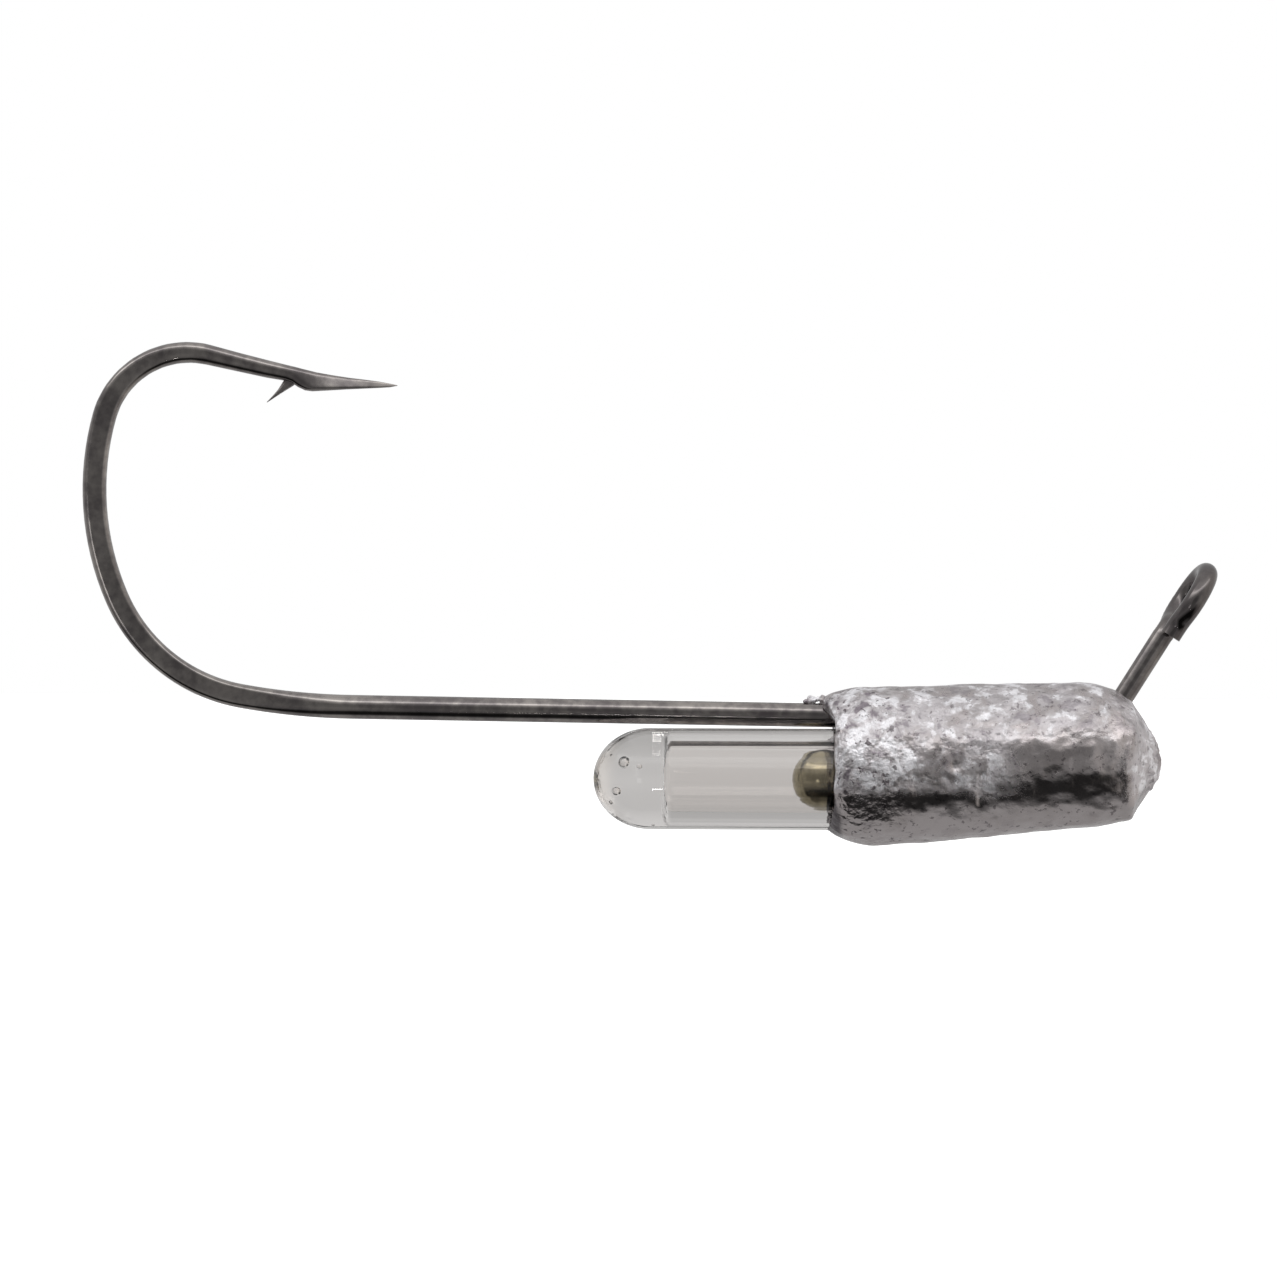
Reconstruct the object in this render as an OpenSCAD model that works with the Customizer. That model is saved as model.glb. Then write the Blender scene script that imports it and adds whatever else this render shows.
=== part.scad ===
// Rattling tube jig head: a sixty-degree jig hook, a lead head cast round its
// shank, and a sealed glass vial of steel balls held under the shank.
// Millimetres. The origin is the centre of the line eye, +X runs forward along
// the vial, +Z is the side of the hook's point, and Y = 0 is the hook's plane.

/* [Hook wire] */
// Diameter of the round wire, at the eye and inside the head
wire_d = 1.0; // [0.8:0.05:1.3]
// Height of the forged shank and bend, seen from the side
forged_h = 1.16; // [1:0.02:1.5]
// Thickness of the forged shank and bend, across the hook
forged_t = 0.94; // [0.7:0.02:1.2]
// Straight length of the shank, from the elbow's corner to the bend
shank_len = 36.6; // [30:0.1:46]
// Angle by which the shank falls towards the eye, against the vial
shank_tilt = 0.72; // [0:0.02:1.2]

/* [Line eye] */
// Diameter of the hole that the line passes through
eye_bore_d = 2.2; // [1.8:0.05:3]
// Depth of wire that the land inside the hole takes off the ring
eye_land_cut = 0.08; // [0.04:0.01:0.14]
// Distance from the elbow's corner to the centre of the eye, along its leg
eye_leg_len = 7.02; // [6:0.01:9]
// Distance that the ring stands forward of its leg
eye_offset = 0.17; // [0:0.01:0.3]
// Angle between the shank and the leg of the eye
eye_angle = 58.5; // [45:0.5:75]
// Turn of the ring about its leg
eye_turn = 7; // [0:1:15]
// Radius of the elbow's centreline
elbow_r = 1.6; // [1:0.1:2.2]

/* [Bend] */
// Radius of the slow curve where the shank starts to rise
ease_r = 33; // [24:1:44]
// Turn of that slow curve
ease_turn = 9.3; // [6:0.1:12]
// Radius of the heel, the lower corner of the bend
heel_r = 8.1; // [6.5:0.1:10]
// Turn of the heel
heel_turn = 56.4; // [50:0.1:62]
// Radius of the back, between the heel and the crown
back_r = 13.2; // [11:0.1:16]
// Turn of the back
back_turn = 38.8; // [33:0.1:44]
// Radius of the crown, the upper corner of the bend
crown_r = 4.2; // [3.4:0.1:5.2]
// Turn of the crown
crown_turn = 87.8; // [82:0.1:92]

/* [Point and barb] */
// Distance from the crown to the tip of the point
point_len = 9.26; // [7.5:0.02:11.2]
// Length of the sharpened spear, back from the tip
spear_len = 5.46; // [4.4:0.02:6]
// Depth of the spear below the middle of the wire
spear_drop = 0.57; // [0.5:0.01:0.7]
// Height of the tip above the middle of the wire
tip_lift = 0.67; // [0.4:0.01:0.9]
// Thickness of the spear, across the hook
spear_t = 0.72; // [0.5:0.02:0.9]
// Diameter of the wire where the spear starts
neck_d = 0.8; // [0.6:0.02:0.9]
// Distance that the barb's tip stands below the middle of the wire
barb_drop = 1.6; // [1.2:0.05:2]
// Distance that the barb's tip lies behind its root
barb_rake = 0.62; // [0.4:0.02:1]
// Thickness of the barb, across the hook
barb_t = 0.36; // [0.24:0.02:0.5]

/* [Glass vial] */
// Outside diameter of the vial
vial_d = 4.9; // [4:0.05:6]
// Length of the vial over both domes
vial_len = 23; // [19:0.1:27.6]
// Length of each domed end, outside
dome_len = 2.75; // [2:0.05:3.2]
// Thickness of solid glass at each end, from the apex to the chamber
plug_len = 3.25; // [2.9:0.05:4]
// Gap between the shank and the vial, at the end of the vial's straight wall
shank_gap = 0.03; // [0.02:0.01:0.1]
// Gap round the vial in its socket
socket_gap = 0.04; // [0.02:0.01:0.1]

/* [Rattle balls] */
// Diameter of a ball
ball_d = 3.0; // [2.5:0.05:3.6]
// Gap all round a ball in the chamber
ball_clearance = 0.1; // [0.08:0.01:0.12]
// Distance that each ball ahead of the rear one can still move
ball_play = 0.5; // [0.4:0.05:0.6]
// Gap between neighbouring balls, and between a ball and an end of the chamber
ball_gap = 0.05; // [0.03:0.01:0.1]

/* [Lead head] */
// Length of the head, from its rear face to its nose
head_len = 16.4; // [13.6:0.1:19.8]
// Distance that the nose stands forward of the elbow's corner
nose_reach = 2.55; // [2.3:0.05:3.1]
// Lead in front of the vial, up to the tip of the nose
nose_cover = 4.42; // [4:0.02:5]
// Lead over the wire where the head is thickest
cover_rear = 0.87; // [0.6:0.01:1.2]
// Lead over the wire at the front shoulder
cover_front = 1.3; // [1:0.01:1.6]
// Lead under the vial where the head is thickest
wall_rear = 0.73; // [0.5:0.01:1]
// Lead under the vial at the front end of its straight wall
wall_front = 0.24; // [0.2:0.01:0.5]
// Length of the rounding at the rear face
rear_round = 2.6; // [1.5:0.1:3.2]
// Depth of the rounding at the rear face
rear_drop = 1.1; // [0.6:0.05:1.15]
// Length of the falling shoulder at the front
shoulder_round = 2.3; // [1.5:0.05:2.6]
// Depth of the falling shoulder
shoulder_drop = 0.9; // [0.5:0.05:1]
// Length of the blunt cone between the shoulder and the stub
cone_len = 0.84; // [0.6:0.02:1]
// Distance that the nose is centred below the shoulder
nose_fall = 0.2; // [0:0.02:0.3]
// Radius of the trimmed casting stub on the nose
stub_r = 1.38; // [1:0.02:1.7]
// Length of the stub
stub_len = 0.54; // [0.3:0.02:0.8]

/* [Hidden] */
$fn = 64;
hook_color = [0.25, 0.24, 0.25];
lead_color = [0.66, 0.65, 0.66];
glass_color = [0.86, 0.88, 0.88, 0.35];
steel_color = [0.56, 0.52, 0.4];

// The eye's place in the hook's frame, whose origin is the elbow's corner
eye_x = eye_leg_len * cos(eye_angle) + eye_offset * sin(eye_angle);
eye_z = eye_leg_len * sin(eye_angle) - eye_offset * cos(eye_angle);
// The elbow's corner in the part's frame
elbow_x = -eye_x * cos(shank_tilt) - eye_z * sin(shank_tilt);
elbow_z = eye_x * sin(shank_tilt) - eye_z * cos(shank_tilt);
elbow_tangent = elbow_r * tan(eye_angle / 2);

// The ring: its land is the cylinder that the hole is bored to
eye_ring_r = eye_bore_d / 2 - eye_land_cut + wire_d / 2;

// The forged part of the shank runs on into the head
forged_in_head = 1;

// The bend is four arcs in the hook's plane, each turning the wire further round
bend_r = [ease_r, heel_r, back_r, crown_r];
bend_turn = [ease_turn, heel_turn, back_turn, crown_turn];
function direction(a) = [cos(a), sin(a)];
function heading(i) = i == 0 ? 180 : heading(i - 1) - bend_turn[i - 1];
function arc_start(i) =
    i == 0 ? [-shank_len, 0] : arc_centre(i - 1) + bend_r[i - 1] * direction(heading(i) + 90);
function arc_centre(i) = arc_start(i) - bend_r[i] * direction(heading(i) + 90);
crown_end = arc_start(len(bend_r));
point_heading = heading(len(bend_r));

// The spear's outline, along and across the line of the point
spear_x = point_len - spear_len;
// Shares of the spear's length at which the notch under the barb and the lower corner lie
notch_share = 0.12;
corner_share = 0.26;
notch_depth = 0.04;
notch = [spear_x + notch_share * spear_len, -neck_d / 2 - notch_depth];
corner_x = spear_x + corner_share * spear_len;
// The upper edge has fallen by this much over the lower corner
corner_fall = 0.024;
// The cone that sharpens the spear: its axis starts this far down, and it ends in a fine tip
spear_sag = 0.1;
cone_r = 1.8 * spear_drop;
tip_r = 0.02;

// Heights and places along the vial
vial_r = vial_d / 2;
head_front_x = elbow_x + nose_reach;
head_rear_x = head_front_x - head_len;
forged_len = shank_len - (elbow_x - head_rear_x) + forged_in_head;
vial_front_x = head_front_x - nose_cover;
vial_rear_x = vial_front_x - vial_len;
straight_end_x = vial_front_x - dome_len;
chamber_x = vial_rear_x + plug_len;
chamber_len = vial_len - 2 * plug_len;
chamber_round = 0.25;
bore_d = ball_d + 2 * ball_clearance;

// The vial lies under both the round wire and the taller forged wire behind it
function shank_z(x) = elbow_z + (elbow_x - x) * tan(shank_tilt);
round_bottom = shank_z(straight_end_x) - wire_d / 2;
forged_bottom = shank_z(head_rear_x + forged_in_head) - forged_h / 2;
vial_z = min(round_bottom, forged_bottom) - shank_gap - vial_r;

// The balls at rest: the two ahead have their play, and the rear one is against the next
ball_pitch = ball_d + ball_gap;
front_ball_x = chamber_x + chamber_len - ball_gap - ball_d / 2 - 2 * ball_play;
rear_ball_x = front_ball_x - 2 * ball_pitch;

// The head's cross-sections are circles, each given by its lowest and highest point
thick_x = head_rear_x + rear_round;
shoulder_x = head_front_x - stub_len - cone_len - shoulder_round;
thick_top = shank_z(thick_x) + wire_d / 2 + cover_rear;
thick_bottom = vial_z - vial_r - wall_rear;
shoulder_top = shank_z(shoulder_x) + wire_d / 2 + cover_front;
straight_end_bottom = vial_z - vial_r - wall_front;
underside_slope = (straight_end_bottom - thick_bottom) / (straight_end_x - thick_x);
shoulder_bottom = thick_bottom + underside_slope * (shoulder_x - thick_x);
thick_r = (thick_top - thick_bottom) / 2;
thick_z = (thick_top + thick_bottom) / 2;
shoulder_r = (shoulder_top - shoulder_bottom) / 2;
shoulder_z = (shoulder_top + shoulder_bottom) / 2;
stub_x = head_front_x - stub_len;
barrel_taper = (thick_r - shoulder_r) / (shoulder_x - thick_x);
barrel_rise = atan2(shoulder_z - thick_z, shoulder_x - thick_x);
barrel_overrun = 1;
// The slot where the shank rests on the vial, from behind the head to just past the straight wall
slot_past_end = 0.69;
slot_len = straight_end_x + slot_past_end - head_rear_x + barrel_overrun;
slot_w = 0.5;
// The nose is centred below the shoulder, and starts just outside the barrel's top line
nose_z = shoulder_z - nose_fall;
nose_slack = 0.15;
nose_r = shoulder_r + nose_fall + nose_slack;
shoulder_power = 1.7;

// Turns a shape drawn along Z to lie along X, at a place on the X axis
module along_x(x, z = 0) {
    translate([x, 0, z]) rotate([0, 90, 0]) children();
}

// Places a shape drawn in the hook's frame: corner of the elbow at the origin,
// shank along -X, point on the +Z side
module in_hook() {
    rotate([0, shank_tilt, 0]) translate([-eye_x, 0, -eye_z]) children();
}

// Places a shape drawn along and across the line of the point
module on_point_line() {
    in_hook() translate([crown_end[0], 0, crown_end[1]]) rotate([0, -point_heading, 0]) children();
}

// Section of the forged wire: round, with a flat pressed on each side
module forged_section() {
    intersection() {
        circle(d = forged_h);
        square([2 * forged_h, forged_t], center = true);
    }
}

// Turns a shape drawn about the Z axis to lie about the hole of the eye
module in_eye() {
    rotate([0, shank_tilt + 90 - eye_angle, 0]) rotate([0, 0, eye_turn]) rotate([0, 90, 0]) children();
}

module ring() in_eye() rotate_extrude() translate([eye_ring_r, 0]) circle(d = wire_d);

module eye_ring() color(hook_color) difference() {
    ring();
    in_eye() cylinder(d = eye_bore_d, h = 2 * wire_d, center = true);
}

// The leg and the elbow, round wire from the shank up to the ring
module leg_wire() in_hook() {
    translate([-elbow_tangent, 0, elbow_r]) rotate([90, 0, 0]) rotate([0, 0, -90])
        rotate_extrude(angle = eye_angle) translate([elbow_r, 0]) circle(d = wire_d);
    rotate([0, 90 - eye_angle, 0]) translate([0, 0, elbow_tangent])
        cylinder(d = wire_d, h = eye_leg_len - eye_ring_r - elbow_tangent);
}

module eye_leg() color(hook_color) difference() {
    leg_wire();
    ring();
}

// The shank: round wire inside the head, forged wire from its rear face back
module hook_shank() color(hook_color) in_hook() {
    along_x(-shank_len) linear_extrude(forged_len) rotate(90) forged_section();
    along_x(forged_len - shank_len) cylinder(d = wire_d, h = shank_len - forged_len - elbow_tangent);
}

module bend_arc(i) color(hook_color) in_hook()
    translate([arc_centre(i)[0], 0, arc_centre(i)[1]]) rotate([90, 0, 0])
        rotate([0, 0, heading(i + 1) + 90]) rotate_extrude(angle = bend_turn[i])
            translate([bend_r[i], 0]) forged_section();

module bend_ease() bend_arc(0);
module bend_heel() bend_arc(1);
module bend_back() bend_arc(2);
module bend_crown() bend_arc(3);

// The neck of round wire narrows to the spear, which a long cone sharpens to the tip
module hook_point() color(hook_color) on_point_line() {
    along_x(0) cylinder(d1 = forged_t, d2 = neck_d, h = spear_x);
    intersection() {
        rotate([90, 0, 0]) linear_extrude(spear_t, center = true) polygon([
            [spear_x, neck_d / 2], [corner_x, neck_d / 2 - corner_fall], [point_len, tip_lift],
            [corner_x, -spear_drop], notch, [spear_x, -neck_d / 2]]);
        translate([spear_x, 0, -spear_sag])
            rotate([0, 90 - atan2(tip_lift + spear_sag, spear_len), 0])
                cylinder(r1 = cone_r, r2 = tip_r, h = norm([spear_len, tip_lift + spear_sag]));
    }
}

module hook_barb() color(hook_color) on_point_line() rotate([90, 0, 0])
    linear_extrude(barb_t, center = true)
        polygon([[spear_x, -neck_d / 2], notch, [spear_x - barb_rake, -barb_drop]]);

// The body of the head, a tapered barrel with a rounded rear edge. Its axis rises
// towards the eye, and it runs on past the nose.
module barrel() {
    front = head_front_x - thick_x + barrel_overrun;
    translate([thick_x, 0, thick_z]) rotate([0, 90 - barrel_rise, 0]) rotate_extrude() polygon(concat(
        [for (a = [90 : -15 : 0]) [thick_r - rear_drop * (1 - cos(a)), -rear_round * sin(a)]],
        [[thick_r - barrel_taper * front, front], [0, front], [0, -rear_round]]));
}

// The nose, turned about its own lower axis: a falling shoulder, a blunt cone and
// the trimmed stub of the casting. It is as wide as it needs to be further back.
module nose() {
    along_x(0, nose_z) rotate_extrude() polygon(concat(
        [[0, head_rear_x - barrel_overrun], [2 * nose_r, head_rear_x - barrel_overrun],
         [2 * nose_r, shoulder_x], [nose_r, shoulder_x]],
        [for (t = [0.25 : 0.25 : 1])
            [nose_r - (shoulder_drop + nose_slack) * pow(t, shoulder_power),
             shoulder_x + shoulder_round * t]],
        [for (a = [0 : 15 : 75]) [stub_r * cos(a), stub_x + stub_len * sin(a)]],
        [[0, head_front_x]]));
}

module lead_head() color(lead_color) difference() {
    intersection() {
        barrel();
        nose();
    }
    vial_outside(socket_gap);
    leg_wire();
    hook_shank();
    // Where the shank rests on the vial there is no lead between them
    translate([head_rear_x - barrel_overrun, -slot_w / 2, vial_z])
        cube([slot_len, slot_w, shank_z(straight_end_x) - vial_z]);
}

// Outline of a domed end, from the apex to the straight wall
function dome(grow) = [for (a = [0 : 7.5 : 90])
    [(dome_len + grow) * (1 - cos(a)) - grow, (vial_r + grow) * sin(a)]];

module vial_outside(grow = 0) {
    rear = dome(grow);
    front = [for (i = [len(rear) - 1 : -1 : 0]) [vial_len - rear[i][0], rear[i][1]]];
    translate([vial_rear_x, 0, vial_z]) rotate([0, 90, 0])
        rotate_extrude() polygon([for (p = concat(rear, front)) [p[1], p[0]]]);
}

module rattle_vial() color(glass_color) difference() {
    vial_outside();
    along_x(chamber_x, vial_z) rotate_extrude() polygon([
        [0, 0], [bore_d / 2 - chamber_round, 0], [bore_d / 2, chamber_round],
        [bore_d / 2, chamber_len - chamber_round], [bore_d / 2 - chamber_round, chamber_len],
        [0, chamber_len]]);
}

module ball(i) color(steel_color) translate([rear_ball_x + i * ball_pitch, 0, vial_z]) sphere(d = ball_d);

module rear_ball() ball(0);
module middle_ball() ball(1);
module front_ball() ball(2);

eye_ring();
eye_leg();
hook_shank();
bend_ease();
bend_heel();
bend_back();
bend_crown();
hook_point();
hook_barb();
lead_head();
rattle_vial();
rear_ball();
middle_ball();
front_ball();
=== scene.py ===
"""Looks of the rattling tube jig head: a forged hook, a lead head cast on it, a glass vial and its balls.

Metres, in the frame of the part: the origin is the centre of the line eye, +X runs forward along the vial,
+Z is the side of the hook's point, and Y = 0 is the plane of the hook.
"""

from math import atan2, cos, exp, pi, radians, sin, sqrt, tan

import bmesh
import bpy
from mathutils import Matrix, Vector, noise


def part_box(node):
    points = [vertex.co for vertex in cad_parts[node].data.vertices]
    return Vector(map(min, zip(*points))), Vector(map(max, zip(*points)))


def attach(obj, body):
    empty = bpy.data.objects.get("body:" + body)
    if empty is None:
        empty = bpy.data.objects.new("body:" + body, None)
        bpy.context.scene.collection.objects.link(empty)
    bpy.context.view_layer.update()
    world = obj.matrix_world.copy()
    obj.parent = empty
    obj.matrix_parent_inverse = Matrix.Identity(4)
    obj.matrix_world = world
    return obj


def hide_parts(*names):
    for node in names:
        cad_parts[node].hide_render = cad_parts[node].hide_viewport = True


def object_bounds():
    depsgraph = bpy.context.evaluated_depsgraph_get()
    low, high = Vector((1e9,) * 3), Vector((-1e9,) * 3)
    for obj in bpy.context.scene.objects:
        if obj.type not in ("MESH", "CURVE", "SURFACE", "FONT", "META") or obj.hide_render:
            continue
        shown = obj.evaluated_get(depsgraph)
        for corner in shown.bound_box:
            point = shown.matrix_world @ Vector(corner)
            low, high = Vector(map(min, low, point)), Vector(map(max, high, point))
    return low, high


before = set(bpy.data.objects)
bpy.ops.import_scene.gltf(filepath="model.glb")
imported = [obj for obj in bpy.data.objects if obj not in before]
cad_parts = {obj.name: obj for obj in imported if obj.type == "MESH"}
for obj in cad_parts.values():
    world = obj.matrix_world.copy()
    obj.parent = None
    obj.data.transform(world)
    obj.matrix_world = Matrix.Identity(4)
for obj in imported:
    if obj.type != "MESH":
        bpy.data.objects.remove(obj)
cad_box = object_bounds()


# ---- The hook ------------------------------------------------------------------------------------------
# One length of hardened steel wire. Its eye is a loop closed beside its own leg, and the leg turns at the
# elbow into the shank. The shank and the bend are forged flat at the sides, and the point is ground and cut
# to raise the barb. It is plated in black nickel.

MM = 0.001
ACROSS = Vector((0, 1, 0))
WIRE_D = 1.0 * MM
FORGED_H, FORGED_T, SHANK_T = 1.16 * MM, 0.94 * MM, 1.07 * MM
FORGED_RUN_IN = 0.3 * MM              # from round wire to forged
SHANK_FLAT, FULL_FLAT, CROWN_FLAT = 0.2, 1.0, 0.5    # 0 is a round side, 1 is pressed flat
LOOP_R = 1.52 * MM                    # centreline of the eye's loop
LOOP_FORWARD = 0.17 * MM              # the loop stands this far forward of its leg
LOOP_TURN = radians(7)
LAP_TURN, LAP_R, LAP_LEN = radians(35), 1.35 * MM, 0.36 * MM         # the cut end that laps the leg
NECK_TURN, NECK_PARTS = radians(69.8), 6
LEG_ANGLE = radians(58.5)             # between the leg and the shank
SHANK_TILT = radians(0.72)
LEG_LEN, ELBOW_R = 7.02 * MM, 1.6 * MM
SHANK_LEN, FORGED_LEN = 36.6 * MM, 23.75 * MM
BEND = [(33.0, 9.3), (8.1, 56.4), (13.2, 38.8), (4.2, 87.8)]      # radius in mm and turn in degrees
EASE_PARTS, CROWN_PARTS = 5, 8
CROWN_H, CROWN_THINNING = 0.98 * MM, 0.02 * MM
# The point: along its line, then its upper and lower edge above the middle of the wire, and its thickness
POINT = [(1.5, 0.44, -0.46, 0.88), (3.0, 0.41, -0.43, 0.82), (3.9, 0.40, -0.37, 0.80),
         (4.25, 0.40, -0.40, 0.79), (4.6, 0.39, -0.53, 0.77), (4.95, 0.385, -0.60, 0.75),
         (5.3, 0.38, -0.565, 0.71), (6.1, 0.425, -0.33, 0.60), (6.9, 0.49, -0.09, 0.47),
         (7.6, 0.57, 0.11, 0.35), (8.3, 0.64, 0.31, 0.23), (8.9, 0.67, 0.49, 0.12),
         (9.24, 0.672, 0.645, 0.03)]
GROUND_FROM, GROUND_RUN_IN, GROUND_RIDGE = 4.2, 1.2, 0.78    # where grinding starts, how sharp it ends
# The barb: along the point's line, then the middle, half length and thickness of the lifted sliver
BARB = [(4.2, -0.28, 0.34, 0.44), (4.06, -0.52, 0.28, 0.40), (3.84, -0.85, 0.17, 0.30),
        (3.58, -1.2, 0.09, 0.18), (3.29, -1.58, 0.02, 0.04)]


def new_mesh(name):
    """Starts the next piece with nothing else selected."""
    bpy.ops.object.select_all(action="DESELECT")
    bpy.context.scene.cursor.location = (0, 0, 0)
    mesh = bpy.data.meshes.new(name)
    piece = bpy.data.objects.new(name, mesh)
    bpy.context.collection.objects.link(piece)
    piece.select_set(True)
    bpy.context.view_layer.objects.active = piece
    return piece


class Wire:
    """Draws wire as it is bent: the open end is selected, and moves on by straight runs and turns."""

    def __init__(self, piece, at, heading, radius, sides=32):
        self.piece, self.at, self.heading = piece, Vector(at), Vector(heading).normalized()
        bpy.ops.object.mode_set(mode="EDIT")
        bpy.ops.mesh.select_mode(type="EDGE")
        turned = self.heading.to_track_quat("Z", "Y").to_euler()
        bpy.ops.mesh.primitive_circle_add(vertices=sides, radius=radius, location=self.at, rotation=turned)

    def straight(self, length, sideways=Vector()):
        """Draws a straight run along the heading, or off to the side of it."""
        step = self.heading * length + sideways
        bpy.ops.mesh.extrude_region_move(TRANSFORM_OT_translate={"value": step})
        self.at += step

    def turn(self, radius, angle, axis, step=radians(5)):
        """Bends the wire round an axis, in steps of about the size given."""
        side = axis.cross(self.heading) * (1 if angle > 0 else -1)
        centre = self.at + side * radius
        steps = max(2, round(abs(angle) / step))
        # The spin tool counts its angle the other way round the axis
        bpy.ops.mesh.spin(steps=steps, angle=-angle, center=centre, axis=axis)
        turned = Matrix.Rotation(angle, 3, axis)
        self.at = centre + turned @ (self.at - centre)
        self.heading = turned @ self.heading

    def drift(self, offset):
        """Moves the open end sideways without drawing more wire."""
        bm = bmesh.from_edit_mesh(self.piece.data)
        for v in [v for v in bm.verts if v.select]:
            v.co += offset
        bmesh.update_edit_mesh(self.piece.data)
        self.at += offset

    def upper(self):
        """The direction in the hook's plane that lies square to the wire."""
        return self.heading.cross(ACROSS)

    def mark(self):
        """Remembers how far round the wire each point of the open end lies."""
        bm = bmesh.from_edit_mesh(self.piece.data)
        around = bm.verts.layers.float.get("around") or bm.verts.layers.float.new("around")
        for v in [v for v in bm.verts if v.select]:
            off = v.co - self.at
            v[around] = atan2(off.dot(ACROSS), off.dot(self.upper()))

    def section(self, top, bottom, thick, flat=1.0, ridge=0.0):
        """Presses the open end to a new section, round to flat-sided. A ridge makes its top narrower."""
        bm = bmesh.from_edit_mesh(self.piece.data)
        around = bm.verts.layers.float["around"]
        for v in [v for v in bm.verts if v.select]:
            a = v[around]
            bulge = sin(a) * 1.6
            pressed = bulge / (1 + bulge ** 8) ** (1 / 8)
            half = thick / 2 * (sin(a) + (pressed - sin(a)) * flat)
            half *= 1 - ridge * (0.5 + 0.5 * cos(a))
            height = (top + bottom) / 2 + cos(a) * (top - bottom) / 2
            v.co = self.at + self.upper() * height + ACROSS * half
        bmesh.update_edit_mesh(self.piece.data)

    def close(self):
        """Caps both ends of the wire."""
        bpy.ops.mesh.select_mode(type="EDGE")
        bpy.ops.mesh.select_all(action="DESELECT")
        bpy.ops.mesh.select_non_manifold(extend=False)
        bpy.ops.mesh.edge_face_add()


hook = new_mesh("hook")
leg_up = Vector((cos(LEG_ANGLE - SHANK_TILT), 0, sin(LEG_ANGLE - SHANK_TILT)))
forward = Vector((leg_up.z, 0, -leg_up.x))
loop_far = ACROSS * cos(LOOP_TURN) - forward * sin(LOOP_TURN)
loop_axis = leg_up.cross(loop_far)

# The loop: from its cut end beside the leg, up the near side, over, down the far side and back to the leg
lap_start = leg_up * (-LOOP_R * sin(LAP_TURN) - LAP_R * sin(LAP_TURN) - LAP_LEN)
lap_start -= loop_far * (LOOP_R * cos(LAP_TURN) - LAP_R * (1 - cos(LAP_TURN)))
wire = Wire(hook, lap_start, leg_up, WIRE_D / 2)
wire.straight(LAP_LEN)
wire.turn(LAP_R, -LAP_TURN, loop_axis)
wire.turn(LOOP_R, pi + LAP_TURN, loop_axis)
# The neck: the wire swings in to the middle of the loop and out again, in line with the leg all the way
neck_r = LOOP_R * cos(NECK_TURN) / (1 - cos(NECK_TURN))
for radius, turn in ((LOOP_R, NECK_TURN), (neck_r, -NECK_TURN)):
    for i in range(NECK_PARTS):
        wire.turn(radius, turn / NECK_PARTS, loop_axis, step=radians(6))
        wire.drift(-forward * LOOP_FORWARD / (2 * NECK_PARTS))

# The leg, then the elbow
elbow_tangent = ELBOW_R * tan(LEG_ANGLE / 2)
leg_done = -wire.at.dot(leg_up)
wire.straight(LEG_LEN - elbow_tangent - leg_done)
wire.turn(ELBOW_R, LEG_ANGLE, ACROSS)

# The shank, round in the head and forged behind it, then the bend
round_len = SHANK_LEN - FORGED_LEN - elbow_tangent
wire.straight(round_len)
wire.mark()
wire.straight(FORGED_RUN_IN)
wire.section(FORGED_H / 2, -FORGED_H / 2, SHANK_T, SHANK_FLAT)
shank_runs = 12
for i in range(shank_runs):
    wire.straight((FORGED_LEN - FORGED_RUN_IN) / shank_runs)
ease_r, ease_turn = BEND[0][0] * MM, radians(BEND[0][1])
for i in range(EASE_PARTS):
    wire.turn(ease_r, ease_turn / EASE_PARTS, ACROSS, step=radians(1))
    pressing = (i + 1) / EASE_PARTS
    thick = SHANK_T - (SHANK_T - FORGED_T) * pressing
    wire.section(FORGED_H / 2, -FORGED_H / 2, thick, SHANK_FLAT + (FULL_FLAT - SHANK_FLAT) * pressing)
for radius, turn in BEND[1:3]:
    wire.turn(radius * MM, radians(turn), ACROSS, step=radians(2.5))
crown_r, crown_turn = BEND[3][0] * MM, radians(BEND[3][1])
for i in range(CROWN_PARTS):
    wire.turn(crown_r, crown_turn / CROWN_PARTS, ACROSS, step=radians(4))
    rounding = (i + 1) / CROWN_PARTS
    height = FORGED_H - (FORGED_H - CROWN_H) * rounding
    thick = FORGED_T - CROWN_THINNING * rounding
    wire.section(height / 2, -height / 2, thick, FULL_FLAT - (FULL_FLAT - CROWN_FLAT) * rounding)
crown_end, point_line, point_up = wire.at.copy(), wire.heading.copy(), wire.upper()
reached = 0
for along, top, bottom, thick in POINT:
    wire.straight(along * MM - reached)
    reached = along * MM
    sharp = max(0.0, min(1.0, (along - GROUND_FROM) / GROUND_RUN_IN))
    flat = CROWN_FLAT + (FULL_FLAT - CROWN_FLAT) * sharp
    wire.section(top * MM, bottom * MM, thick * MM, flat, GROUND_RIDGE * sharp)
wire.close()

# The barb, a sliver lifted out of the wire's underside
barb = None
for along, middle, half, thick in BARB:
    place = crown_end + (point_line * along + point_up * middle) * MM
    if barb:
        barb.straight(0, place - barb.at)
    else:
        barb = Wire(hook, place, -point_up, WIRE_D / 2, sides=16)
        barb.mark()
    barb.section(half * MM, -half * MM, thick * MM)
barb.close()
bpy.ops.mesh.select_all(action="SELECT")
bpy.ops.mesh.normals_make_consistent(inside=False)
bpy.ops.object.mode_set(mode="OBJECT")
bpy.ops.object.shade_smooth_by_angle(angle=radians(38))


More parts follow.
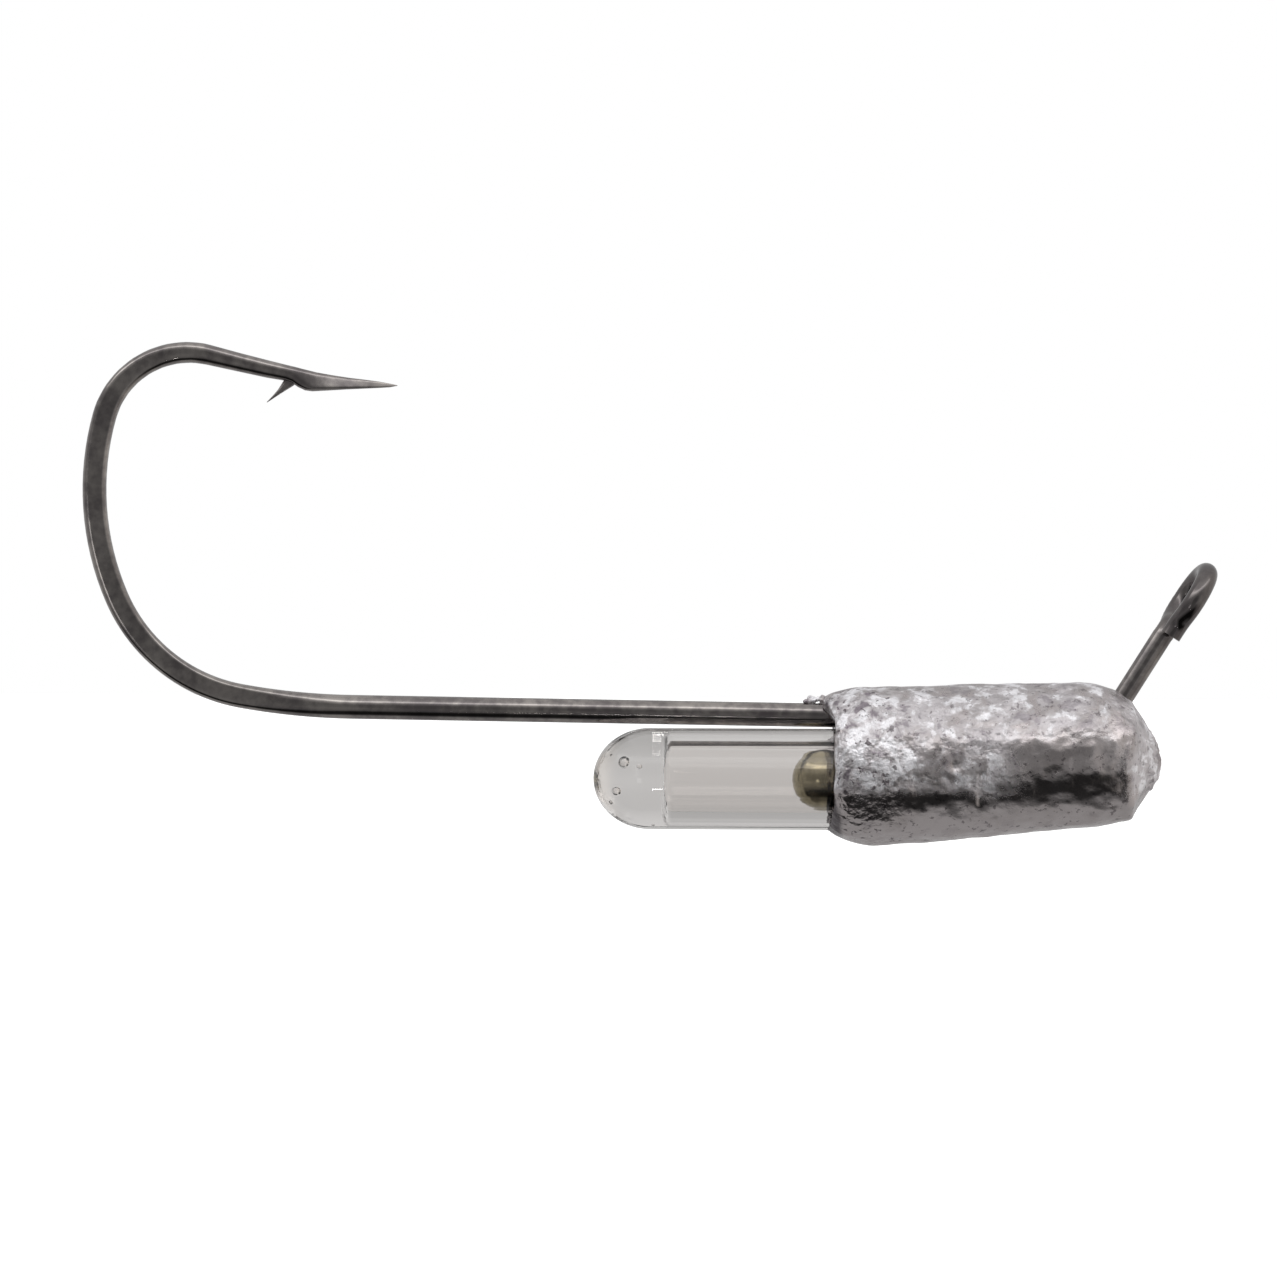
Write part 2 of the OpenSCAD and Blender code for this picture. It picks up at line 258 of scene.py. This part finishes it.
class Socket:
    """A shader socket that can be used in sums. Plain numbers may stand on either side."""

    def __init__(self, tree, link):
        self.tree, self.link = tree, link

    def node(self, kind, settings=None, output=0, **inputs):
        """Adds one node: its settings are set first, then the values or links of its sockets."""
        n = self.tree.nodes.new(kind)
        for name, value in (settings or {}).items():
            setattr(n, name, value)
        for name, value in inputs.items():
            place = int(name[1:]) if name[0] == "_" else name.replace("_", " ")
            if isinstance(value, Socket):
                self.tree.links.new(value.link, n.inputs[place])
            else:
                n.inputs[place].default_value = value
        return Socket(self.tree, n.outputs[output])

    def maths(self, operation, other):
        return self.node("ShaderNodeMath", {"operation": operation}, _0=self, _1=other)

    def axis(self, letter):
        """The X, Y or Z of a vector."""
        return self.node("ShaderNodeSeparateXYZ", output=letter, _0=self)

    def __add__(self, other):
        return self.maths("ADD", other)

    __radd__ = __add__

    def __mul__(self, other):
        return self.maths("MULTIPLY", other)

    __rmul__ = __mul__

    def __sub__(self, other):
        return self.maths("SUBTRACT", other)

    def __rsub__(self, other):
        return self.node("ShaderNodeMath", {"operation": "SUBTRACT"}, _0=other, _1=self)

    def step(self, low, high):
        """Rises smoothly from 0 to 1 between two values, or falls if low is the greater."""
        if low > high:
            return 1 - self.step(high, low)
        return self.node("ShaderNodeMapRange", {"interpolation_type": "SMOOTHSTEP"},
                         Value=self, From_Min=low, From_Max=high)

    def ramp(self, *stops):
        """A grey that follows (position, brightness) stops."""
        result = self.node("ShaderNodeValToRGB", Fac=self)
        points = result.link.node.color_ramp.elements
        for _ in stops[2:]:
            points.new(0.5)
        for point, (position, grey) in zip(points, stops):
            point.position = position
            point.color = (grey, grey, grey, 1)
        return result

    def mix(self, first, second):
        """Colours first and second, mixed by this socket."""
        return self.node("ShaderNodeMix", {"data_type": "RGBA"}, output=2, _0=self, _6=first, _7=second)


def new_material(name):
    """An empty material, its Principled shader, and a socket of Object coordinates in millimetres."""
    material = bpy.data.materials.new(name)
    material.use_nodes = True
    tree = material.node_tree
    shader = tree.nodes["Principled BSDF"]
    start = Socket(tree, tree.nodes.new("ShaderNodeTexCoord").outputs["Object"])
    place = start.node("ShaderNodeVectorMath", {"operation": "SCALE"}, _0=start, Scale=1 / MM)
    return material, shader, place


def feed(shader, **sockets):
    """Sets a shader's own sockets: links where something varies, plain values elsewhere."""
    for name, value in sockets.items():
        place = shader.inputs[name.replace("_", " ")]
        if isinstance(value, Socket):
            value.tree.links.new(value.link, place)
        else:
            place.default_value = value


def bump(height, strength, distance):
    return height.node("ShaderNodeBump", Height=height, Strength=strength, Distance=distance)


def speckle(place, scale, detail=3.0, rough=0.5, distort=0.0):
    return place.node("ShaderNodeTexNoise", Vector=place, Scale=scale, Detail=detail, Roughness=rough,
                      Distortion=distort)


PLATE_DARK, PLATE_LIGHT = (0.20, 0.182, 0.182, 1), (0.40, 0.37, 0.35, 1)
# Painted shade for the eye, standing in for the dark room its wire reflects
EYE_PAINTED_SHADE = (0.075, 0.066, 0.07, 1)

nickel, shader, place = new_material("black_nickel")
cloud = speckle(place, 0.5, 4)
drawn = speckle(place, 2.4, 4, 0.55)
dents = speckle(place, 1.3, 1)
tone = (cloud * 0.6 + drawn * 0.4).step(0.36, 0.66)
plate = tone.mix(PLATE_DARK, PLATE_LIGHT)
# Painted shade: the plate colour is darkened in the eye, standing in for the dark room that the wire
# reflects there
eye_painted_shade = (place.axis("X") + (cloud - 0.5) * 1.2).step(-1.9, -1.0)
plate = (eye_painted_shade * 0.62).mix(plate, EYE_PAINTED_SHADE)
feed(shader, Base_Color=plate, Metallic=1.0,
     Roughness=0.06 + 0.12 * drawn, Normal=bump(dents + drawn * 0.05, 0.25, 0.03 * MM))
hook.data.materials.append(nickel)
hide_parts("eye_ring", "eye_leg", "hook_shank", "bend_ease", "bend_heel", "bend_back", "bend_crown",
            "hook_point", "hook_barb")
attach(hook, "root")


# ---- The glass vial ------------------------------------------------------------------------------------
# A length of borosilicate tube, sealed in a flame at both ends over three steel balls. The sealed ends are
# solid domes, and hold the small bubbles that the flame left in them.

low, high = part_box("rattle_vial")
VIAL_R = (high.z - low.z) / 2
VIAL_Z = (high.z + low.z) / 2
VIAL_REAR, VIAL_FRONT = low.x, high.x
DOME_LEN, PLUG_LEN, BORE_R, CHAMBER_ROUND = 2.75 * MM, 3.25 * MM, 1.6 * MM, 0.55 * MM
# Bubbles, in millimetres: in from the rear end, up and across from the axis, and radius
BUBBLES = [(1.62, 0.68, -1.1, 0.27), (1.32, -0.5, -0.9, 0.19), (1.05, -1.0, -0.7, 0.09),
           (1.0, 1.02, -0.9, 0.06), (0.95, 1.25, 0.5, 0.10), (2.4, 0.3, 0.9, 0.08),
           (0.75, 0.1, 0.8, 0.13), (2.9, -1.9, -0.4, 0.07), (21.4, 0.4, 0.6, 0.18),
           (21.9, -0.6, -0.4, 0.12)]
GLASS_SIDES = 96


def spun(piece, outline, axis_z, sides):
    """Adds a shell to the piece: an outline of (x, distance from the axis), spun about a line along X."""
    bpy.ops.object.mode_set(mode="EDIT")
    bpy.ops.mesh.select_all(action="DESELECT")
    bm = bmesh.from_edit_mesh(piece.data)
    last = None
    made = []
    for x, r in outline:
        v = bm.verts.new((x, 0, axis_z + r))
        if last:
            made.append(bm.edges.new((last, v)))
        last = v
    for e in made:
        e.select = True
    bmesh.update_edit_mesh(piece.data)
    bpy.ops.mesh.spin(steps=sides, angle=2 * pi, center=(0, 0, axis_z), axis=(1, 0, 0))
    bpy.ops.mesh.select_all(action="SELECT")
    bpy.ops.mesh.remove_doubles(threshold=1e-7)
    bpy.ops.mesh.normals_make_consistent(inside=False)
    bpy.ops.object.mode_set(mode="OBJECT")


vial = new_mesh("glass_vial")
quarter = [radians(a) for a in range(0, 91, 6)]
rear_dome = [(VIAL_REAR + DOME_LEN * (1 - cos(a)), VIAL_R * sin(a)) for a in quarter]
front_dome = [(VIAL_FRONT - DOME_LEN * (1 - cos(a)), VIAL_R * sin(a)) for a in reversed(quarter)]
# Rings along the tube and the bore keep their shading straight beside the rounded ends
tube_rings = [(VIAL_REAR + DOME_LEN + (0.1 + i) * MM, VIAL_R) for i in range(18)]
spun(vial, rear_dome + tube_rings + front_dome, VIAL_Z, GLASS_SIDES)
chamber = new_mesh("chamber")
rear_x, front_x = VIAL_REAR + PLUG_LEN, VIAL_FRONT - PLUG_LEN
rear_end = [(rear_x + CHAMBER_ROUND * (1 - sin(a)), BORE_R - CHAMBER_ROUND * (1 - cos(a)))
            for a in [radians(b) for b in range(90, -1, -15)]]
front_end = [(rear_x + front_x - x, r) for x, r in reversed(rear_end)]
bore_rings = [(rear_x + CHAMBER_ROUND + (0.1 + i) * MM, BORE_R) for i in range(15)]
chamber_outline = [(rear_x, 0)] + rear_end + bore_rings + front_end + [(front_x, 0)]
spun(chamber, chamber_outline, VIAL_Z, GLASS_SIDES)
hollows = [chamber]
for i, (inward, up, across, r) in enumerate(BUBBLES):
    bpy.ops.mesh.primitive_uv_sphere_add(segments=20, ring_count=12, radius=r * MM,
                                         location=(VIAL_REAR + inward * MM, across * MM, VIAL_Z + up * MM))
    bpy.ops.transform.resize(value=(1.15 if i % 2 else 1, 1, 1))
    bpy.ops.object.transform_apply(location=True, rotation=True, scale=True)
    hollows.append(bpy.context.object)
for hollow in hollows:
    bpy.ops.object.select_all(action="DESELECT")
    hollow.select_set(True)
    bpy.context.view_layer.objects.active = hollow
    bpy.ops.object.mode_set(mode="EDIT")
    bpy.ops.mesh.select_all(action="SELECT")
    bpy.ops.mesh.flip_normals()
    bpy.ops.object.mode_set(mode="OBJECT")
bpy.ops.object.select_all(action="DESELECT")
for o in hollows + [vial]:
    o.select_set(True)
bpy.context.view_layer.objects.active = vial
bpy.ops.object.join()
bpy.ops.object.shade_smooth_by_angle(angle=radians(40))

GLASS_TINT = (0.985, 0.958, 0.940, 1)

glass, shader, place = new_material("flame_sealed_glass")
streak = place.node("ShaderNodeMapping", Vector=place, Scale=(0.008, 1, 1))
drawn = speckle(streak, 2.2, 2)
feed(shader, Base_Color=GLASS_TINT, Metallic=0.0, Roughness=0.0, IOR=1.47,
     Transmission_Weight=1.0, Normal=bump(drawn, 0.55, 0.05 * MM))
vial.data.materials.append(glass)
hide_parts("rattle_vial")
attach(vial, "root")


# ---- The balls -----------------------------------------------------------------------------------------
# Three bearing balls of polished steel with a warm, brassy tone. They are true spheres, and each one rides
# on its own body, so that it can roll along the chamber.

BRASSY_DARK, BRASSY_LIGHT = (0.25, 0.222, 0.150, 1), (0.39, 0.350, 0.242, 1)

steel, shader, place = new_material("ball_steel")
haze = speckle(place, 1.6, 4, 0.6)
scuff = speckle(place, 14.0, 4, 0.6)
brassy = haze.step(0.35, 0.65).mix(BRASSY_DARK, BRASSY_LIGHT)
feed(shader, Base_Color=brassy, Metallic=1.0,
     Roughness=0.04 + 0.10 * haze, Normal=bump(scuff, 0.06, 0.01 * MM))
for name in ("rear_ball", "middle_ball", "front_ball"):
    low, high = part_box(name)
    bpy.ops.object.select_all(action="DESELECT")
    bpy.ops.mesh.primitive_uv_sphere_add(segments=64, ring_count=32, radius=(high.z - low.z) / 2,
                                         location=(low + high) / 2)
    bpy.ops.object.transform_apply(location=True, rotation=True, scale=True)
    bpy.ops.object.shade_smooth()
    ball = bpy.context.object
    ball.name = "steel_" + name
    ball.data.materials.append(steel)
    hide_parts(name)
    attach(ball, name + "_body")


# ---- The lead head -------------------------------------------------------------------------------------
# Lead poured into a simple mould round the elbow of the hook and the front half of the vial. Its skin is
# uneven and mottled. Its rear lip creeps along the glass and the shank, and its nose keeps a trimmed stub.

low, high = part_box("lead_head")
HEAD_REAR, HEAD_FRONT = low.x, high.x
# The outside, from the rear lip to the nose: place behind the nose's tip, and the lowest and highest point
OUTSIDE = [(15.92, -11.22, -4.80), (15.7, -11.42, -4.60), (15.2, -11.70, -4.42), (14.6, -11.86, -4.31),
           (13.8, -11.94, -4.285), (12.4, -11.86, -4.26), (10.2, -11.70, -4.19), (7.3, -11.38, -4.137),
           (5.2, -11.17, -4.07), (3.9, -11.07, -4.04), (3.3, -11.02, -4.09), (2.85, -10.95, -4.18),
           (2.4, -10.88, -4.31), (2.0, -10.80, -4.49), (1.7, -10.73, -4.68), (1.45, -10.65, -4.89),
           (1.38, -10.58, -4.98), (1.3, -10.44, -5.12), (0.9, -9.80, -5.76), (0.62, -9.33, -6.30),
           (0.56, -9.26, -6.42), (0.44, -9.15, -6.58), (0.24, -8.92, -6.84), (0.09, -8.5, -7.3),
           (0.0, -7.95, -7.85)]
SOCKET_GAP = 0.03 * MM
LIP_X = HEAD_FRONT - 15.28 * MM       # where the lip meets the glass, at the sides
SIDES = 200
SOCKET_RINGS, REAR_FACE_RINGS = 40, 7
# Marks on the near side, in millimetres. Pit and burr: x, z, width and height
GAS_PIT, BURR = (-11.4, -8.05, 0.26, -0.17), (-11.75, -8.3, 0.22, 0.10)
CREASE_X, CREASE_LOW, CREASE_HIGH = -10.12, -9.95, -8.35
CREST_X = -2.95
STUB_LEN = 0.62
CRUMBS = 16


def eased(points, spacing):
    """Points every so often along a line of (x, low, high) points, on a smooth curve through them."""
    out = []
    for i in range(len(points) - 1):
        p0, p1, p2 = points[max(i - 1, 0)], points[i], points[i + 1]
        p3 = points[min(i + 2, len(points) - 1)]
        steps = max(1, round(sqrt(sum((a - b) ** 2 for a, b in zip(p1, p2))) / spacing))
        for s in range(steps):
            t = s / steps
            out.append(tuple(
                0.5 * (2 * b + (c - a) * t + (2 * a - 5 * b + 4 * c - d) * t * t
                       + (3 * b - a - 3 * c + d) * t ** 3)
                for a, b, c, d in zip(p0, p1, p2, p3)))
    return out + [points[-1]]


head = new_mesh("lead_head_casting")
bpy.ops.object.mode_set(mode="EDIT")
bpy.ops.mesh.select_mode(type="EDGE")
rings = []                            # x, centre height and radius of each, from the socket's end outwards
vial_wall = VIAL_R + SOCKET_GAP
for a in range(10, 91, 16):
    fall = DOME_LEN * (1 - cos(radians(a)))
    rings.append((VIAL_FRONT + SOCKET_GAP - fall, VIAL_Z, vial_wall * sin(radians(a))))
straight = VIAL_FRONT - DOME_LEN
for i in range(1, SOCKET_RINGS + 1):
    rings.append((straight + (LIP_X - straight) * i / SOCKET_RINGS, VIAL_Z, vial_wall))
lip_outer = eased([(HEAD_FRONT - x * MM, lo * MM, hi * MM) for x, lo, hi in OUTSIDE], 0.14 * MM)
# The rear face, from the glass out to the rounded edge
inner_count = len(rings)
x0, lo0, hi0 = lip_outer[0]
for i in range(1, REAR_FACE_RINGS + 1):
    t = i / (REAR_FACE_RINGS + 1)
    swell = sin(t * pi / 2)
    x = LIP_X - 0.12 * MM * sin(t * pi) + (x0 - LIP_X) * t
    z = VIAL_Z + ((lo0 + hi0) / 2 - VIAL_Z) * swell
    rings.append((x, z, vial_wall + ((hi0 - lo0) / 2 - vial_wall) * swell))
for x, lo, hi in lip_outer:
    rings.append((x, (lo + hi) / 2, (hi - lo) / 2))
x, z, r = rings[0]
bpy.ops.mesh.primitive_circle_add(vertices=SIDES, radius=r, location=(x, 0, z), rotation=(0, pi / 2, 0))
bm = bmesh.from_edit_mesh(head.data)
ring_of = bm.verts.layers.int.new("ring")
spoke = bm.verts.layers.float.new("spoke")
for v in bm.verts:
    v[spoke] = atan2(v.co.y, v.co.z - z)
for i, (x, z, r) in enumerate(rings[1:], 1):
    bpy.ops.mesh.extrude_region_move(TRANSFORM_OT_translate={"value": (0, 0, 0)})
    bm = bmesh.from_edit_mesh(head.data)
    ring_of, spoke = bm.verts.layers.int["ring"], bm.verts.layers.float["spoke"]
    for v in [v for v in bm.verts if v.select]:
        v[ring_of] = i
        v.co = (x, r * sin(v[spoke]), z + r * cos(v[spoke]))
bmesh.update_edit_mesh(head.data)
bpy.ops.mesh.select_all(action="DESELECT")
bpy.ops.mesh.select_non_manifold(extend=False)
bpy.ops.mesh.edge_face_add()
bpy.ops.mesh.select_all(action="SELECT")
bpy.ops.mesh.normals_make_consistent(inside=False)
bpy.ops.object.mode_set(mode="OBJECT")


def bell(distance, width):
    """1 at no distance, falling smoothly to nothing within about two widths."""
    return exp(-(distance / width) ** 2)


def skin(p):
    """Height of the casting's uneven skin over its smooth shape at a place, both in millimetres."""
    broad = noise.noise(p * 0.42 + Vector((3.1, 7.7, 1.3))) * 0.08
    lumps = noise.noise(p * 1.1 + Vector((9.2, 0.4, 5.5))) * 0.045
    small = noise.noise(p * 2.7 + Vector((1.2, 4.4, 8.8))) * 0.011
    return broad + lumps + small


bm = bmesh.new()
bm.from_mesh(head.data)
bm.normal_update()
ring_of, spoke = bm.verts.layers.int["ring"], bm.verts.layers.float["spoke"]
moves = []
count = len(rings)
for v in bm.verts:
    ring, a = v[ring_of], v[spoke]
    p = v.co / MM
    # The skin fades out inside the socket and near the very tip
    outer = max(0.0, min(1.0, (ring - inner_count + 2) / 5))
    tip = min(1.0, (count - 1 - ring) / 4)
    push = skin(p) * outer * (0.35 + 0.65 * tip)
    if p.y < 0:
        # A gas pit with a burr beside it, and a cold crease below and ahead of it
        for mark_x, mark_z, width, height in (GAS_PIT, BURR):
            push += height * bell(sqrt((p.x - mark_x) ** 2 + (p.z - mark_z) ** 2), width)
        wander = 0.05 * sin(p.z * 5)
        if CREASE_LOW < p.z < CREASE_HIGH:
            push -= 0.09 * bell(p.x - CREASE_X + wander, 0.075)
    # The shoulder ends in a low crest, and the nose falls away from it as a cone
    push += 0.04 * bell(p.x - CREST_X + 0.12 * sin(2.3 * a), 0.22)
    # The stub is rough where it was trimmed
    if p.x > HEAD_FRONT / MM - STUB_LEN:
        push += (noise.noise(p * 3.4) * 0.12 + noise.noise(p * 9) * 0.04) * (0.3 + 0.7 * tip) - 0.03
    # The rear lip creeps back along the shank above and along the glass below
    rear = max(0.0, 1 - abs(ring - inner_count - 3) / 14)
    creep = 0.62 * bell(a, 0.62) + 0.35 * bell(abs(a) - pi, 0.6)
    creep += 0.12 * noise.noise(Vector((cos(a), sin(a), 3)) * 2.2)
    creep += 0.10 * noise.noise(Vector((cos(a), sin(a), 8)) * 7) - 0.25 * sin(a) ** 2
    moves.append(v.normal * push * MM + Vector((-creep * rear * rear * MM, 0, 0)))
for v, move in zip(bm.verts, moves):
    v.co += move
bm.to_mesh(head.data)
bm.free()

# Crumbs of lead that froze where the shank enters. They all lie in the hook's plane: the lower ones are
# hidden inside the wire, and the others stand along its top
crumbs = []
for i in range(CRUMBS):
    seed = Vector((sin(i * 12.9), sin(i * 78.2), sin(i * 37.7)))
    size = (0.10 + 0.12 * abs(seed.x)) * MM
    spot = (HEAD_REAR - (0.15 + 0.35 * seed.y) * MM, seed.z * 0.75 * MM, (-5.25 + 0.34 * sin(i * 3.3)) * MM)
    bpy.ops.mesh.primitive_ico_sphere_add(subdivisions=3, radius=size, location=spot)
    bpy.ops.object.transform_apply(location=True, rotation=True, scale=True)
    crumb = bpy.context.object
    for v in crumb.data.vertices:
        v.co += (v.co - Vector(spot)) * (noise.noise(v.co / MM * 5) * 0.9)
    crumbs.append(crumb)
bpy.ops.object.select_all(action="DESELECT")
for o in crumbs + [head]:
    o.select_set(True)
bpy.context.view_layer.objects.active = head
bpy.ops.object.join()
bpy.ops.object.shade_smooth()

DULL_DARK, DULL_LIGHT = (0.42, 0.392, 0.398, 1), (0.60, 0.57, 0.585, 1)
FROST_WHITE = (0.94, 0.93, 0.96, 1)
BARE_GREY = (0.57, 0.515, 0.505, 1)
BLOT_GREY = (0.24, 0.21, 0.235, 1)
PEPPER_BLACK = (0.13, 0.11, 0.12, 1)
# Painted shade for the hollow of the rear face, round the glass
GAP_SHADE_BLACK = (0.09, 0.08, 0.09, 1)

lead, shader, place = new_material("cast_lead")
patch = speckle(place, 0.6, 4, 0.6, 0.5)
mottle = speckle(place, 1.25, 5, 0.6, 0.25)
pepper = speckle(place, 2.8, 4, 0.66)
dents = speckle(place, 1.0, 1, 0.5)
pocks = speckle(place, 3.0, 2, 0.5)
x_of = place.axis("X")
z_of = place.axis("Z")
shift = (patch - 0.5) * 3.2 + (mottle - 0.5) * 1.6
# Bright bare skin: a large patch forward, all of the underside, and islands elsewhere
ahead = (x_of + shift).step(-9.6, -7.6) * (x_of + shift * 0.55).step(-2.4, -3.7)
ahead = ahead * (z_of + shift * 0.5).step(-6.0, -6.9)
under = (z_of + shift * 0.35).step(-8.9, -9.7)
islands = patch.step(0.48, 0.38) * 0.6
bare = ahead.maths("MAXIMUM", under).maths("MAXIMUM", islands)
rear = x_of.step(-12.8, -15.6)
frost = (mottle + rear * 0.05).step(0.50, 0.62) * (1 - bare * 0.9)
blots = mottle.step(0.45, 0.35) * (1 - bare * 0.7)
tint = patch.step(0.38, 0.6).mix(DULL_DARK, DULL_LIGHT)
tint = (frost * 0.85).mix(tint, FROST_WHITE)
tint = (bare * 0.65).mix(tint, BARE_GREY)
tint = (blots * (0.55 + 0.35 * rear)).mix(tint, BLOT_GREY)
tint = (pepper.step(0.41, 0.36) * (0.6 + 0.3 * rear)).mix(tint, PEPPER_BLACK)
# Painted shade in the hollow of the rear face, round the glass: the lead is darkened where the gap between
# lead and glass falls dark
off_axis = place.node("ShaderNodeVectorMath", {"operation": "MULTIPLY_ADD"}, _0=place, _1=(0, 1, 1),
                      _2=(0, 0, -VIAL_Z / MM))
off_axis = off_axis.node("ShaderNodeVectorMath", {"operation": "LENGTH"}, output=1, _0=off_axis)
gap_shade = (off_axis + (mottle - 0.5) * 0.5).step(3.15, 2.9) * x_of.step(-16.6, -16.95)
tint = (gap_shade * 0.85).mix(tint, GAP_SHADE_BLACK)
rough = 0.36 + 0.10 * mottle - 0.22 * bare + 0.04 * frost
relief = (dents - 0.5) * (1 - bare * 0.5) + (pocks - 0.5) * (0.34 - 0.28 * bare + 0.3 * rear)
feed(shader, Base_Color=tint, Metallic=0.94 + 0.06 * bare,
     Roughness=rough, Normal=bump(relief, 0.8, 0.3 * MM))
head.data.materials.append(lead)
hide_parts("lead_head")
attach(head, "root")


# ---- The studio ----------------------------------------------------------------------------------------
# A plain pale floor under the part, and soft light all round it: brightest above and in front, dark low
# down in front, so that bright metal shows its form. The camera looks square at the side of the hook.

VIEW_CENTRE = Vector((-26.61, 0, -2.11)) * MM
VIEW_HEIGHT = 61.88 * MM
VIEW_DISTANCE = 0.5
FLOOR_Z = cad_box[0].z - 26 * MM
WALL_WHITE, ONLOOKER_DARK = (0.80, 0.77, 0.73, 1), (0.02, 0.02, 0.02, 1)

bpy.ops.object.select_all(action="DESELECT")
bpy.ops.mesh.primitive_plane_add(size=12, location=(0, 0, FLOOR_Z))
floor = bpy.context.object
floor.name = "floor"
floor.visible_glossy = False
floor.visible_transmission = False
paper, shader, place = new_material("pale_paper")
feed(shader, Base_Color=(0.93, 0.93, 0.93, 1), Roughness=0.9, Specular_IOR_Level=0.1,
     Emission_Color=(1, 1, 1, 1), Emission_Strength=0.55)
floor.data.materials.append(paper)

bpy.ops.object.light_add(type="AREA", location=(0.05, -0.25, 0.55), rotation=(radians(24), radians(5), 0))
key = bpy.context.object
key.data.shape, key.data.size, key.data.energy = "DISK", 0.45, 9.0
key.visible_glossy = False
key.visible_transmission = False

# Small lamps, which give the bright points on the glass, balls and wire: place, width, height and power
LAMPS = [((-0.19, -0.45, -0.04), 0.07, 0.07, 0.02),
         ((-0.0254, -0.414, -0.185), 0.0022, 0.03, 0.004)]
for spot, width, height, power in LAMPS:
    bpy.ops.object.light_add(type="AREA", location=spot)
    lamp = bpy.context.object
    lamp.rotation_euler = (lamp.location - VIEW_CENTRE).to_track_quat("Z", "Y").to_euler()
    lamp.data.shape, lamp.data.size, lamp.data.size_y, lamp.data.energy = "RECTANGLE", width, height, power
    lamp.visible_camera = False

world = bpy.data.worlds.new("soft_room")
bpy.context.scene.world = world
world.use_nodes = True
tree = world.node_tree
back = tree.nodes["Background"]
toward = Socket(tree, tree.nodes.new("ShaderNodeTexCoord").outputs["Generated"])
rise = toward.axis("Z") * 0.5 + 0.5
y_of = toward.axis("Y")
front = rise.ramp((0.0, 0.45), (0.02, 0.16), (0.07, 0.02), (0.21, 0.02), (0.30, 0.22), (0.40, 0.42),
                  (0.5, 0.34), (0.62, 0.34), (0.74, 0.5), (0.80, 1.3), (0.84, 2.3), (0.885, 1.0),
                  (1.0, 0.72))
behind = rise.ramp((0.0, 0.40), (0.2, 0.42), (0.5, 0.55), (0.72, 0.52), (0.9, 0.65), (1.0, 0.75))
room = y_of.step(-0.12, 0.02).mix(front, behind)
# A white wall beyond the eye, and whoever stands in front of the part as a dark shape
room = (toward.axis("X").step(0.35, 0.8) * 0.45).mix(room, WALL_WHITE)
room = (y_of.step(-0.89, -0.98) * 0.42).mix(room, ONLOOKER_DARK)
# The camera sees plain white behind the part
seen = toward.node("ShaderNodeLightPath", output="Is Camera Ray")
shade = seen.mix(room, (1.0, 1.0, 1.0, 1))
tree.links.new(shade.link, back.inputs["Color"])
back.inputs["Strength"].default_value = 1.0

bpy.ops.object.camera_add(location=VIEW_CENTRE - ACROSS * VIEW_DISTANCE,
                          rotation=(pi / 2, -radians(0.3), 0))
camera = bpy.context.object
camera.data.sensor_width = 36
camera.data.lens = camera.data.sensor_width * VIEW_DISTANCE / VIEW_HEIGHT
camera.data.clip_start, camera.data.clip_end = 0.01, 20
bpy.context.scene.camera = camera
bpy.context.scene.view_settings.view_transform = "Standard"
